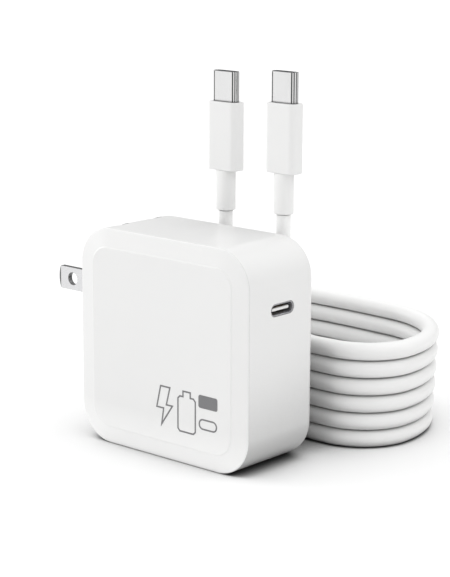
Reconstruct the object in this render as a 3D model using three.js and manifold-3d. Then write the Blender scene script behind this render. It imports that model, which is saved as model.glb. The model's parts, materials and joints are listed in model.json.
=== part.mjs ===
// Laptop power adapter with fold-away prongs, a USB-C socket and a coiled USB-C lead.
// Units are millimetres. +Z is up, -Y is the front, +X is the socket side, -X the prong side.
// The origin is the centre of the case's base.

import * as THREE from "three";
import { mergeVertices } from "three/addons/utils/BufferGeometryUtils.js";
import Module from "manifold-3d";

const wasm = await Module();
wasm.setup();

// ---- Case ----
const CASE = 60; // width and height of the square outline
const CASE_R = 10.5; // outline corner radius
const MID_Z = CASE / 2;
const FRONT_Y = -14.5; // raised front panel
const EDGE_Y = -13.5; // where the sloped border meets the side walls
const PARTING_Y = -13.1; // back of the front cover's rim
const PARTING_GAP = 0.12;
const REAR_Y = 14.5;
const REAR_ROUND = { side: 6, depth: 3.5 }; // half-ellipse that rounds the rear edges
const WALL = 2;
const BORDER = 4.9; // width of the sloped border round the panel
const FIT = 0.3; // clearance between fitted pieces
const TOUCH = 0.02; // pieces that rest on each other

// ---- Fold-away prongs (NEMA 1-15) ----
const PIVOT = { x: -28.3, z: 40.5 };
const BLADE_SPACING = 12.7;
const BLADE_T = 1.5;
const BLADE_W = 6.35;
const BLADE_Z = 42; // centre height when folded out
const BLADE_TIP_X = -45.9;
const BLADE_HOLE_R = 1.8;
const BLADE_HOLE_X = -40.2;
const ROTOR_HALF_Y = 9.2;
const CRADLE_HALF_Y = 11.2;
const POCKET_R = 8.2;
const SLOT_W = 4.4; // channel each blade folds into
const SLOT_DEPTH_X = -22.5;
const SCOOP = { x: -20.6, z: 52 }; // wider mouth at the top of each channel

// ---- USB-C socket ----
const PORT_Z = 43.4;
const PORT = { w: 9.1, h: 3.2, r: 1.55, wall: 0.3, front: 29.8, back: 21.8 };
const PORT_HOLE = { w: 9.7, h: 3.8, r: 1.85 };

// ---- Print ----
const PRINT_T = 0.04;
const PRINT_STROKE = 0.42;

// ---- Boards ----
const BOARD_Y0 = 9.4;
const BOARD_Y1 = 10.6;

// ---- Cable ----
const CORD_D = 4.9;
const CORD_PITCH = 4.93;
const COIL_TURNS = 6;
const COIL_H = CORD_D + (COIL_TURNS - 1) * CORD_PITCH;
const COIL = { x0: -47.5, x1: 40.8, y0: 26.5, y1: 72.7 }; // centre line of the loop
const COIL_R = { nearRight: 14.8, farRight: 31.3, left: 23 };
const PLUG = { w: 9.8, t: 5.1, r: 1.5, boot: 18.6, relief: 11, shellW: 8.34, shellT: 2.56, shell: 8.3 };
const PLUG_A = { x: -4.6, y: 17.1, z: 62.95 }; // foot of the strain relief
const PLUG_B = { x: 15.9, y: 17.1, z: 64.3 };

const group = new THREE.Group();
group.name = "laptop_power_adapter";

const COLOURS = {
  white: 0xf2f2f0,
  cable: 0xf0f0ee,
  nickel: 0xc9cbce,
  steel: 0xb8bcc2,
  bronze: 0xb98a4a,
  copper: 0xc07a42,
  black: 0x1b1b1d,
  board: 0x1f5a3a,
  ferrite: 0x34363a,
  yellow: 0xe3b82e,
  blue: 0x2f62b8,
  darkGreen: 0x27402c,
  amber: 0xd9a23a,
  aluminium: 0xc3c7cc,
  pad: 0xb9c4d6,
  sheet: 0xe9e4d2,
  print: 0x77787a,
};

const METALS = ["nickel", "steel", "bronze", "copper", "aluminium"];

function add(name, geometry, colour) {
  const metal = METALS.includes(colour);
  const material = new THREE.MeshStandardMaterial({
    color: COLOURS[colour],
    roughness: metal ? 0.3 : 0.45,
    metalness: metal ? 1 : 0,
  });
  material.name = name;
  const mesh = new THREE.Mesh(geometry, material);
  mesh.name = name;
  group.add(mesh);
  return mesh;
}

// ---- Solids ----

function toSolid(geometry) {
  const clean = geometry.clone();
  clean.deleteAttribute("normal");
  clean.deleteAttribute("uv");
  const welded = mergeVertices(clean, 1e-4);
  const mesh = new wasm.Mesh({
    numProp: 3,
    vertProperties: new Float32Array(welded.attributes.position.array),
    triVerts: new Uint32Array(welded.index.array),
  });
  return new wasm.Manifold(mesh);
}

function fromSolid(solid) {
  const mesh = solid.getMesh();
  const geometry = new THREE.BufferGeometry();
  geometry.setAttribute("position", new THREE.Float32BufferAttribute(mesh.vertProperties, 3));
  geometry.setIndex(new THREE.Uint32BufferAttribute(mesh.triVerts, 1));
  geometry.computeVertexNormals();
  return geometry;
}

function cut(base, ...tools) {
  let solid = toSolid(base);
  for (const tool of tools) {
    solid = solid.subtract(toSolid(tool));
  }
  return fromSolid(solid);
}

function join(base, ...others) {
  let solid = toSolid(base);
  for (const other of others) {
    solid = solid.add(toSolid(other));
  }
  return fromSolid(solid);
}

function common(first, second) {
  return fromSolid(toSolid(first).intersect(toSolid(second)));
}

function box(x0, x1, y0, y1, z0, z1) {
  const geometry = new THREE.BoxGeometry(x1 - x0, y1 - y0, z1 - z0);
  return geometry.translate((x0 + x1) / 2, (y0 + y1) / 2, (z0 + z1) / 2);
}

// Round bar along Y from y0 to y1.
function barY(y0, y1, x, z, radius, sides = 16) {
  const geometry = new THREE.CylinderGeometry(radius, radius, y1 - y0, sides);
  return geometry.translate(x, (y0 + y1) / 2, z);
}

function roundedRect(w, h, r, steps = 4) {
  const points = [];
  const corners = [
    [w / 2 - r, h / 2 - r, 0],
    [r - w / 2, h / 2 - r, 1],
    [r - w / 2, r - h / 2, 2],
    [w / 2 - r, r - h / 2, 3],
  ];
  for (const [cx, cy, quarter] of corners) {
    for (let i = 0; i <= steps; i += 1) {
      const angle = ((quarter + i / steps) * Math.PI) / 2;
      points.push([cx + r * Math.cos(angle), cy + r * Math.sin(angle)]);
    }
  }
  return points;
}

// Skin over a stack of outlines that share a point count; each ring is a list of [x, y, z].
function loft(rings) {
  const count = rings[0].length;
  const vertices = rings.flat(2);
  const triangles = [];
  for (let k = 0; k + 1 < rings.length; k += 1) {
    for (let i = 0; i < count; i += 1) {
      const a = k * count + i;
      const b = k * count + ((i + 1) % count);
      triangles.push(a, b, b + count, a, b + count, a + count);
    }
  }
  const last = (rings.length - 1) * count;
  for (let i = 1; i + 1 < count; i += 1) {
    triangles.push(0, i + 1, i, last, last + i, last + i + 1);
  }
  const geometry = new THREE.BufferGeometry();
  geometry.setAttribute("position", new THREE.Float32BufferAttribute(vertices, 3));
  geometry.setIndex(triangles);
  geometry.computeVertexNormals();
  return geometry;
}

// Case-shaped slab: stations are [y, inset from the case outline], from front to back.
function caseLoft(stations, steps = 7) {
  const rings = stations.map(([y, inset]) => {
    const size = CASE - 2 * inset;
    const radius = Math.max(CASE_R - inset, 1.5);
    return roundedRect(size, size, radius, steps).map(([u, v]) => [-u, y, v + MID_Z]);
  });
  return loft(rings);
}

// Upright slab with a rounded plan: stations are [z, width, thickness, radius], bottom to top.
function uprightLoft(cx, cy, stations, steps = 4) {
  const rings = stations.map(([z, w, t, r]) => {
    const plan = roundedRect(w, t, r, steps);
    return plan.map(([u, v]) => [cx + u, cy + v, z]);
  });
  return loft(rings);
}

// Rounded slot bar along X, wide in Y.
function slotBar(x0, x1, w, h, r, z, steps = 4) {
  const ring = (x) => roundedRect(w, h, r, steps).map(([u, v]) => [x, u, z + v]);
  return loft([ring(x0), ring(x1)]);
}

// Plate cut from a polygon of [x, z] points, between two Y planes.
function plateXZ(points, y0, y1) {
  const shape = new THREE.Shape(points.map(([x, z]) => new THREE.Vector2(x, z)));
  const geometry = new THREE.ExtrudeGeometry(shape, { depth: y1 - y0, bevelEnabled: false });
  return geometry.rotateX(Math.PI / 2).translate(0, y1, 0);
}

function tube(points, radius, steps, sides) {
  const path = new THREE.CatmullRomCurve3(points.map((p) => new THREE.Vector3(...p)), false, "centripetal");
  const round = new THREE.Shape();
  for (let i = 0; i < sides; i += 1) {
    const angle = (2 * Math.PI * i) / sides;
    const x = radius * Math.cos(angle);
    const y = radius * Math.sin(angle);
    if (i === 0) {
      round.moveTo(x, y);
    } else {
      round.lineTo(x, y);
    }
  }
  const options = { steps, extrudePath: path, bevelEnabled: false, curveSegments: 1 };
  return new THREE.ExtrudeGeometry(round, options);
}

// ---- Case ----

function addFrontCover() {
  const skin = caseLoft([
    [FRONT_Y, BORDER + 0.35],
    [FRONT_Y + 0.12, BORDER],
    [EDGE_Y - 0.12, 0.2],
    [EDGE_Y + 0.05, 0.05],
    [PARTING_Y, 0],
  ]);
  const lip = caseLoft([
    [PARTING_Y - 0.3, WALL + FIT],
    [-11.4, WALL + FIT],
  ]);
  const hollow = caseLoft([
    [-12.7, WALL + FIT + 1.4],
    [-11, WALL + FIT + 1.4],
  ]);
  add("front_cover", cut(join(skin, lip), hollow), "white");
}

function caseHollow(margin) {
  return caseLoft([
    [-16, WALL + margin],
    [REAR_Y - WALL - 1 - margin, WALL + margin],
    [REAR_Y - WALL - margin, WALL + 1 + margin],
  ]);
}

function bladeSlots(x0, x1, z0, z1) {
  return [-1, 1].map((side) => {
    const y = (side * BLADE_SPACING) / 2;
    return box(x0, x1, y - SLOT_W / 2, y + SLOT_W / 2, z0, z1);
  });
}

function addRearHousing() {
  const stations = [
    [PARTING_Y + PARTING_GAP, 0.08],
    [PARTING_Y + PARTING_GAP + 0.1, 0],
  ];
  for (let i = 0; i <= 5; i += 1) {
    const angle = (i / 5) * (Math.PI / 2);
    const y = REAR_Y - REAR_ROUND.depth * (1 - Math.sin(angle));
    stations.push([y, REAR_ROUND.side * (1 - Math.cos(angle))]);
  }
  const opening = box(-31, -27, -CRADLE_HALF_Y - FIT, CRADLE_HALF_Y + FIT, 32.3, 48.5);
  const portHole = slotBar(27, 31, PORT_HOLE.w, PORT_HOLE.h, PORT_HOLE.r, PORT_Z);
  const slots = [...bladeSlots(-31, SLOT_DEPTH_X, 48, 61), ...bladeSlots(-31, SCOOP.x, SCOOP.z, 61)];
  add("rear_housing", cut(caseLoft(stations), caseHollow(0), opening, portHole, ...slots), "white");
}

// ---- Fold-away prongs ----

// Insert in the left wall: it holds the rotor and closes the blade channels from inside.
function addProngCradle() {
  const frame = box(-29.9, -27, -CRADLE_HALF_Y, CRADLE_HALF_Y, 32.6, 48.2);
  const block = box(-27.7, -18.6, -CRADLE_HALF_Y, CRADLE_HALF_Y, 31, 50);
  const channel = box(-27.9, -20.9, -10, 10, 45, 59);
  const scoopWall = box(-21.2, SCOOP.x + 1.4, -9.1, 9.1, SCOOP.z - 1.4, 59);
  const inside = common(join(block, channel, scoopWall), caseHollow(FIT));
  const pocketCore = barY(-ROTOR_HALF_Y - 0.4, ROTOR_HALF_Y + 0.4, PIVOT.x, PIVOT.z, POCKET_R, 32);
  const pocketInner = common(pocketCore, box(-27.4, -10, -12, 12, 20, 60));
  const pocketMouth = box(-31, -27.3, -ROTOR_HALF_Y - 0.4, ROTOR_HALF_Y + 0.4, 33.6, 46.8);
  const trunnionHole = barY(-10.7, 10.7, PIVOT.x, PIVOT.z, 1.1);
  const windows = [-1, 1].map((side) => {
    const y = (side * BLADE_SPACING) / 2;
    return box(-21.5, -17, y - 1.1, y + 1.1, 38.1, 39.5);
  });
  const slots = [...bladeSlots(-31, SLOT_DEPTH_X, 45, 61), ...bladeSlots(-31, SCOOP.x, SCOOP.z, 61)];
  const tools = [pocketInner, pocketMouth, trunnionHole, ...windows, ...slots];
  add("prong_cradle", cut(join(frame, inside), ...tools), "white");
}

// The rotor's section, measured from the pivot: square with one corner rounded about the pivot.
function addProngRotor() {
  const corners = [
    { x: 5.5, z: 5.7, r: 2.6 },
    { x: -1.5, z: 5.7, r: 0.5 },
    { x: -1.5, z: -1.5, r: 1.5 },
    { x: 5.5, z: -1.5, r: 0.5 },
  ];
  const outline = [];
  corners.forEach(({ x, z, r }, quarter) => {
    const cx = x - Math.sign(x) * r;
    const cz = z - Math.sign(z) * r;
    for (let i = 0; i <= 5; i += 1) {
      const angle = ((quarter + i / 5) * Math.PI) / 2;
      outline.push([PIVOT.x + cx + r * Math.cos(angle), PIVOT.z + cz + r * Math.sin(angle)]);
    }
  });
  const body = plateXZ(outline, -ROTOR_HALF_Y, ROTOR_HALF_Y);
  const trunnions = barY(-10.5, 10.5, PIVOT.x, PIVOT.z, 0.8, 12);
  const slots = [-1, 1].map((side) => {
    const y = (side * BLADE_SPACING) / 2;
    const half = BLADE_T / 2 + TOUCH;
    return box(-31, -22, y - half, y + half, 40.9 - TOUCH, 45.3 + TOUCH);
  });
  add("prong_rotor", cut(join(body, trunnions), ...slots), "white");
}

function addProng(name, side) {
  const y = (side * BLADE_SPACING) / 2;
  const y0 = y - BLADE_T / 2;
  const y1 = y + BLADE_T / 2;
  const low = BLADE_Z - BLADE_W / 2;
  const high = BLADE_Z + BLADE_W / 2;
  const shoulder = PIVOT.x - 1.5 - TOUCH;
  const outline = [
    [shoulder, low],
    [shoulder, 40.9],
    [-22.9, 40.9],
    [-21.9, 40.9],
    [-21.9, 42.3],
    [-22.9, 42.9],
    [-24.9, 45.3],
    [shoulder, 45.3],
    [shoulder, high],
    [BLADE_TIP_X + 0.9, high],
    [BLADE_TIP_X + 0.42, high - 0.97],
    [BLADE_TIP_X + 0.12, high - 1.97],
    [BLADE_TIP_X, BLADE_Z],
    [BLADE_TIP_X + 0.12, low + 1.97],
    [BLADE_TIP_X + 0.42, low + 0.97],
    [BLADE_TIP_X + 0.9, low],
  ];
  const hole = barY(y0 - 1, y1 + 1, BLADE_HOLE_X, BLADE_Z, BLADE_HOLE_R, 24);
  const wedge = (sign) => {
    const face = sign < 0 ? y0 : y1;
    const inner = face - sign * 0.5;
    const points = [
      [BLADE_TIP_X - 0.5, face + sign * 0.2],
      [BLADE_TIP_X + 1.3, face + sign * 0.2],
      [BLADE_TIP_X + 0.9, face],
      [BLADE_TIP_X - 0.5, inner],
    ];
    const shape = new THREE.Shape(points.map(([u, v]) => new THREE.Vector2(u, v)));
    return new THREE.ExtrudeGeometry(shape, { depth: 8, bevelEnabled: false }).translate(0, 0, low - 0.8);
  };
  add(name, cut(plateXZ(outline, y0, y1), hole, wedge(-1), wedge(1)), "nickel");
}

function addDetentSpring() {
  const leaf = [
    [-21.1, 37.4],
    [-20.7, 37.4],
    [-20.7, 43.6],
    [-21.1, 43.6],
  ];
  add("detent_spring", plateXZ(leaf, -3.2, 3.2), "steel");
}

// Bronze strip that carries the current from a blade's tail out through the cradle's back wall.
function addContactSpring(name, side) {
  const y = (side * BLADE_SPACING) / 2;
  const strip = [
    [-21.3, 38.55],
    [-16.6, 38.55],
    [-16.6, 38.95],
    [-20.95, 38.95],
    [-20.95, 42.6],
    [-21.3, 42.6],
  ];
  add(name, plateXZ(strip, y - 0.8, y + 0.8), "bronze");
}

function addAcWire(name, side) {
  const y = (side * BLADE_SPACING) / 2;
  const end = side < 0 ? -19.6 : -23.4;
  const route = [
    [-15.3, y, 38.2],
    [-15.4, y, 34],
    [-15.8, y + 0.6, 30],
    [end + 1.5, y + (4 - y) * 0.5, 26.8],
    [end, 5, 25.4],
    [end, 9.1, 25.2],
  ];
  add(name, tube(route, 0.8, 14, 8), side < 0 ? "black" : "sheet");
}

// ---- USB-C socket ----

function addUsbSocket() {
  const { w, h, r, wall, front, back } = PORT;
  const outer = slotBar(back, front, w, h, r, PORT_Z);
  const inner = slotBar(back - 1, front + 1, w - 2 * wall, h - 2 * wall, r - wall, PORT_Z);
  add("usb_shell", cut(outer, inner), "nickel");

  const slack = 2 * (wall + TOUCH);
  const base = slotBar(back - 0.8, back + 1.6, w - slack, h - slack, r - wall - TOUCH, PORT_Z);
  const socket = box(back + 0.4, back + 3, -3.4, 3.4, PORT_Z - 0.38, PORT_Z + 0.38);
  add("usb_base", cut(base, socket), "black");
  add("usb_tongue", box(back + 0.42, front - 0.8, -3.35, 3.35, PORT_Z - 0.35, PORT_Z + 0.35), "white");
  add("port_board", box(12.5, 27.4, -7.5, 9, 40.4, PORT_Z - h / 2 - TOUCH), "board");
}

// ---- Boards, sheets and heat spreaders ----

function addBoards() {
  const outline = [
    [-22, 4],
    [22, 4],
    [26.5, 8.5],
    [26.5, 51.5],
    [22, 56],
    [-16, 56],
    [-16, 29.5],
    [-26.5, 29.5],
    [-26.5, 8.5],
  ];
  add("main_board", plateXZ(outline, BOARD_Y0, BOARD_Y1), "board");
  add("insulation_sheet", plateXZ(outline, 11.2, 11.45), "sheet");
  add("heat_spreader_rear", box(-13, 24, 11.75, 12.15, 8, 52), "aluminium");
  add("heat_spreader_front", box(-13, 24, -12.3, -11.9, 8, 52), "copper");
  add("thermal_pad", box(-9, 11, -11.88, -9.72, 23, 38.9), "pad");
}

function standing(name, x, z, radius, height, colour, sides = 20) {
  const top = BOARD_Y0 - TOUCH;
  add(name, barY(top - height, top, x, z, radius, sides), colour);
}

function blockOnBoard(name, x0, x1, z0, z1, height, colour) {
  const top = BOARD_Y0 - TOUCH;
  add(name, box(x0, x1, top - height, top, z0, z1), colour);
}

// Toroid standing flat on the board with two wire windings wrapped round it.
function addChoke() {
  const centre = { x: -20.5, z: 15.5 };
  const ring = (inner, outer, y0, y1, sides) => {
    const disc = barY(y0, y1, centre.x, centre.z, outer, sides);
    return cut(disc, barY(y0 - 1, y1 + 1, centre.x, centre.z, inner, sides));
  };
  add("choke_core", ring(2.9, 5.1, 1.5, 7, 24), "ferrite");
  const hole = ring(2.9 - 0.05, 5.1 + 0.05, 1.45, 7.05, 24);
  const coat = cut(ring(2.2, 5.8, 0.8, 7.7, 24), hole);
  const half = (sign) => {
    const z = centre.z + sign * 4.4;
    return box(centre.x - 7, centre.x + 7, 0, 9, z - 3.4, z + 3.4);
  };
  add("choke_winding_lower", common(coat, half(-1)), "copper");
  add("choke_winding_upper", common(coat, half(1)), "copper");
}

function addPrimarySide() {
  blockOnBoard("fuse", -25.5, -17.5, 5, 9, 7, "black");
  standing("thermistor", -12.2, 25.6, 2.6, 5, "darkGreen", 16);
  blockOnBoard("x_capacitor", -14.5, -1.5, 5, 11.5, 13, "yellow");
  blockOnBoard("bridge_rectifier", 0.5, 10.5, 5, 8.6, 10, "black");
  standing("line_inductor", -9.5, 17, 4.4, 12, "ferrite");
  for (const [index, x] of [-10.8, -0.4, 10].entries()) {
    standing(`bulk_capacitor_${index + 1}`, x, 51, 4.9, 19.5, "aluminium");
  }
  blockOnBoard("gan_switch", -3.5, 3.5, 14, 21, 1, "black");
  blockOnBoard("primary_controller", 6, 11, 14, 18.5, 1, "black");
  addChoke();
}

// EE core in two halves round a bobbin: the centre leg runs front to back.
function addTransformer() {
  const x0 = -9;
  const x1 = 11;
  const mid = (x0 + x1) / 2;
  const cz = 31;
  const half = (y0, y1, backY0, backY1) => {
    const back = box(x0, x1, backY0, backY1, cz - 4, cz + 4);
    const legs = [
      box(x0, x0 + 3, y0, y1, cz - 4, cz + 4),
      box(x1 - 3, x1, y0, y1, cz - 4, cz + 4),
      box(mid - 3, mid + 3, y0, y1, cz - 3.5, cz + 3.5),
    ];
    return join(back, ...legs);
  };
  add("transformer_core_front", half(-7.5, -0.7 - TOUCH, -9.7, -6.7), "ferrite");
  add("transformer_core_rear", half(-0.7, 6.3, 5.5, 8.5), "ferrite");

  const bore = box(mid - 3.1, mid + 3.1, -8, 8, cz - 3.6, cz + 3.6);
  const spool = box(mid - 3.7, mid + 3.7, -6.6, 5.4, cz - 4.3, cz + 4.3);
  const flange = (y0, y1) => box(mid - 6.8, mid + 6.8, y0, y1, cz - 7.6, cz + 7.6);
  add("transformer_bobbin", cut(join(spool, flange(-6.6, -5.8), flange(4.6, 5.4)), bore), "black");

  const wrap = (grow, y0, y1) => {
    const halfX = 3.7 + grow;
    const halfZ = 4.3 + grow;
    return box(mid - halfX, mid + halfX, y0, y1, cz - halfZ, cz + halfZ);
  };
  const sleeve = (inner, outer, y0, y1) => cut(wrap(outer, y0, y1), wrap(inner, y0 - 1, y1 + 1));
  add("transformer_winding", sleeve(TOUCH, 2.3, -5.7, 4.5), "copper");
  add("transformer_tape", sleeve(2.3 + TOUCH, 2.7, -5.6, 4.4), "amber");
}

function addSecondarySide() {
  standing("y_capacitor", 15.5, 21.5, 3.2, 5.5, "blue", 16);
  blockOnBoard("optocoupler", 13, 19, 13, 16.6, 3.4, "black");
  blockOnBoard("sync_rectifier", 14, 19.5, 29, 34, 1, "black");
  standing("output_capacitor_1", 22.6, 9, 3.4, 11, "aluminium", 16);
  standing("output_capacitor_2", 22.6, 20, 3.4, 11, "aluminium", 16);
  const boardTop = PORT_Z - PORT.h / 2 - TOUCH;
  add("pd_controller", box(14.5, 18.5, -3, 1, boardTop + TOUCH, boardTop + 1), "black");
}

// ---- Cable ----

function loopOutline(grow, steps) {
  const { x0, x1, y0, y1 } = COIL;
  const corners = [
    [x1 - COIL_R.farRight, y1 - COIL_R.farRight, COIL_R.farRight],
    [x0 + COIL_R.left, y1 - COIL_R.left, COIL_R.left],
    [x0 + COIL_R.left, y0 + COIL_R.left, COIL_R.left],
    [x1 - COIL_R.nearRight, y0 + COIL_R.nearRight, COIL_R.nearRight],
  ];
  const points = [];
  corners.forEach(([cx, cy, r], quarter) => {
    for (let i = 0; i <= steps; i += 1) {
      const angle = ((quarter + i / steps) * Math.PI) / 2;
      points.push([cx + (r + grow) * Math.cos(angle), cy + (r + grow) * Math.sin(angle)]);
    }
  });
  return points;
}

// The stack of turns as one ring with rounded top and bottom edges.
function addCoil() {
  const half = CORD_D / 2;
  const soft = 0.7;
  const levels = [
    [0, half - soft],
    [soft, half],
    [COIL_H - soft, half],
    [COIL_H, half - soft],
  ];
  const outer = loft(levels.map(([z, grow]) => loopOutline(grow, 7).map(([x, y]) => [x, y, z])));
  const holeLevels = [
    [-1, -half + soft],
    [0, -half + soft],
    [soft, -half],
    [COIL_H - soft, -half],
    [COIL_H, -half + soft],
    [COIL_H + 1, -half + soft],
  ];
  const hole = loft(holeLevels.map(([z, grow]) => loopOutline(grow, 7).map(([x, y]) => [x, y, z])));
  add("cable_coil", cut(outer, hole), "cable");
}

function addLeads() {
  const leadA = [
    [PLUG_A.x, PLUG_A.y, PLUG_A.z - FIT],
    [PLUG_A.x, PLUG_A.y, 54],
    [-4.2, 17.7, 47.5],
    [-2.8, 19.6, 41],
    [0.2, 22.6, 35.6],
    [3.4, 24.4, 32.5],
  ];
  add("cable_lead_a", tube(leadA, CORD_D / 2, 22, 10), "cable");
  const beside = COIL.y0 - CORD_D - FIT;
  const floor = CORD_D / 2 + 0.05;
  const leadB = [
    [PLUG_B.x, PLUG_B.y, PLUG_B.z - FIT],
    [PLUG_B.x, PLUG_B.y, 52],
    [PLUG_B.x, PLUG_B.y, 36],
    [PLUG_B.x - 0.6, PLUG_B.y + 0.2, 24],
    [PLUG_B.x - 4.4, PLUG_B.y + 1.1, 13],
    [PLUG_B.x - 12, PLUG_B.y + 2.6, 5.2],
    [PLUG_B.x - 22, PLUG_B.y + 4, floor],
    [PLUG_B.x - 31, beside, floor],
    [PLUG_B.x - 39, beside, floor],
  ];
  add("cable_lead_b", tube(leadB, CORD_D / 2, 34, 10), "cable");
}

function addPlug(tag, foot) {
  const { w, t, r, boot, relief, shellW, shellT, shell } = PLUG;
  const bootZ = foot.z + relief;
  const shellZ = bootZ + boot;
  const reliefStations = [
    [foot.z, 5.3, 5.0, 2.3],
    [bootZ - TOUCH, 5.5, 5.0, 2.0],
  ];
  add(`plug_${tag}_relief`, uprightLoft(foot.x, foot.y, reliefStations), "cable");
  const bootStations = [
    [bootZ, w - 0.6, t - 0.6, r - 0.3],
    [bootZ + 0.35, w, t, r],
    [shellZ - 0.35, w, t, r],
    [shellZ, w - 0.6, t - 0.6, r - 0.3],
  ];
  add(`plug_${tag}_boot`, uprightLoft(foot.x, foot.y, bootStations), "cable");
  const sleeve = (z0, z1, dw) => uprightLoft(foot.x, foot.y, [
    [z0, shellW - dw, shellT - dw, 1.2 - dw / 2],
    [z1, shellW - dw, shellT - dw, 1.2 - dw / 2],
  ]);
  const z0 = shellZ + TOUCH;
  const z1 = shellZ + shell;
  add(`plug_${tag}_shell`, cut(sleeve(z0, z1, 0), sleeve(z0 - 1, z1 + 1, 0.5)), "nickel");
  const mouth = box(foot.x - 3.4, foot.x + 3.4, foot.y - 0.5, foot.y + 0.5, z1 - 6, z1 + 1);
  add(`plug_${tag}_insert`, cut(sleeve(z0, z1 - 0.3, 0.5 + 2 * TOUCH), mouth), "black");
}

// ---- Printed marks on the front panel ----

// A closed outline moved inwards by a distance; the points run anticlockwise.
function inset(points, distance) {
  const count = points.length;
  return points.map(([x, z], i) => {
    const [px, pz] = points[(i + count - 1) % count];
    const [nx, nz] = points[(i + 1) % count];
    const before = new THREE.Vector2(x - px, z - pz).normalize();
    const after = new THREE.Vector2(nx - x, nz - z).normalize();
    const bisector = new THREE.Vector2(-before.y - after.y, before.x + after.x).normalize();
    const reach = distance / (bisector.x * -before.y + bisector.y * before.x);
    return [x + bisector.x * reach, z + bisector.y * reach];
  });
}

function addPrint(name, points, stroke) {
  const shape = new THREE.Shape(points.map(([x, z]) => new THREE.Vector2(x, z)));
  if (stroke > 0) {
    shape.holes.push(new THREE.Path(inset(points, stroke).map(([x, z]) => new THREE.Vector2(x, z))));
  }
  const geometry = new THREE.ExtrudeGeometry(shape, { depth: PRINT_T, bevelEnabled: false });
  add(name, geometry.rotateX(Math.PI / 2).translate(0, FRONT_Y - TOUCH / 2, 0), "print");
}

function addMarks() {
  const bolt = [
    [0.4, 9.0],
    [5.0, 15.6],
    [2.7, 15.6],
    [4.0, 20.5],
    [0.2, 20.5],
    [-1.3, 14.1],
    [1.2, 14.1],
  ];
  addPrint("printed_bolt", bolt, PRINT_STROKE);
  const cell = { x: 9.7, w: 6.6, low: 9, high: 19, cap: 3, tip: 20.5 };
  const battery = [
    [cell.x - cell.w / 2 + 0.8, cell.low],
    [cell.x + cell.w / 2 - 0.8, cell.low],
    [cell.x + cell.w / 2, cell.low + 0.8],
    [cell.x + cell.w / 2, cell.high - 0.8],
    [cell.x + cell.w / 2 - 0.8, cell.high],
    [cell.x + cell.cap / 2, cell.high],
    [cell.x + cell.cap / 2, cell.tip],
    [cell.x - cell.cap / 2, cell.tip],
    [cell.x - cell.cap / 2, cell.high],
    [cell.x - cell.w / 2 + 0.8, cell.high],
    [cell.x - cell.w / 2, cell.high - 0.8],
    [cell.x - cell.w / 2, cell.low + 0.8],
  ];
  addPrint("printed_battery", battery, PRINT_STROKE);
  const placed = (points, x, z) => points.map(([u, v]) => [x + u, z + v]);
  addPrint("printed_tag", placed(roundedRect(6.6, 3.5, 0.6, 4), 17.2, 18.7), 0);
  addPrint("printed_port", placed(roundedRect(6.4, 3.0, 1.45, 6), 17.2, 12.6), PRINT_STROKE);
}

addFrontCover();
addRearHousing();
addProngCradle();
addProngRotor();
addProng("prong_front", -1);
addProng("prong_rear", 1);
addDetentSpring();
addContactSpring("contact_spring_front", -1);
addContactSpring("contact_spring_rear", 1);
addAcWire("ac_wire_front", -1);
addAcWire("ac_wire_rear", 1);
addUsbSocket();
addBoards();
addPrimarySide();
addTransformer();
addSecondarySide();
addCoil();
addLeads();
addPlug("a", PLUG_A);
addPlug("b", PLUG_B);
addMarks();

export default group;
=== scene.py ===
"""Looks of the laptop power adapter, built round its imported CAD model.

Sizes are written in millimetres and turned into metres by MM.
+Z is up, -Y is the front panel's side, +X the socket's side and -X the prongs' side.
"""

import json
import math

import bpy
from mathutils import Matrix, Vector


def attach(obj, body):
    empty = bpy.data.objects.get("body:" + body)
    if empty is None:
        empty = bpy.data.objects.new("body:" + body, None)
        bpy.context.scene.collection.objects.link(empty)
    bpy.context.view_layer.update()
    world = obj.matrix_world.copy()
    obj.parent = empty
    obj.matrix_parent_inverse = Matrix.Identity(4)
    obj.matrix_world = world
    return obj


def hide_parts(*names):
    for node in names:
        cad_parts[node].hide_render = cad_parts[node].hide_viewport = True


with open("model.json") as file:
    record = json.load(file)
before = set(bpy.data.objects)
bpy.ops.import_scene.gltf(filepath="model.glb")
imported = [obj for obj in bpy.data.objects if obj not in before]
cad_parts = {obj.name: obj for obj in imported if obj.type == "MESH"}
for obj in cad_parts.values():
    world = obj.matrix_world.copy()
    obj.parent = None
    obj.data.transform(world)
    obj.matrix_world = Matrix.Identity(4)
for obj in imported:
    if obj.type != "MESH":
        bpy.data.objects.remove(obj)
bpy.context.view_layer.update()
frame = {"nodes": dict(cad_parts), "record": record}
MM = 0.001

# ---- Case ----
CASE = 60.0
CASE_R = 10.5
MID_Z = CASE / 2
FRONT_Y = -14.5
PARTING_Y = -13.1
PARTING_GAP = 0.03
REAR_Y = 14.5
REAR_ROUND_SIDE, REAR_ROUND_DEPTH = 6.0, 3.5
WALL = 2.0
COVER_INSIDE, LIP_BACK = -12.7, -11.4
LIP_OUTSIDE, LIP_INSIDE = WALL + 0.3, WALL + 1.7
BORDER, BORDER_SLOPE = 4.9, 10
PANEL_R, PANEL_TURN = 0.75, 40
RIM_R = 0.42
CORNER_STEPS = 16

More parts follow.
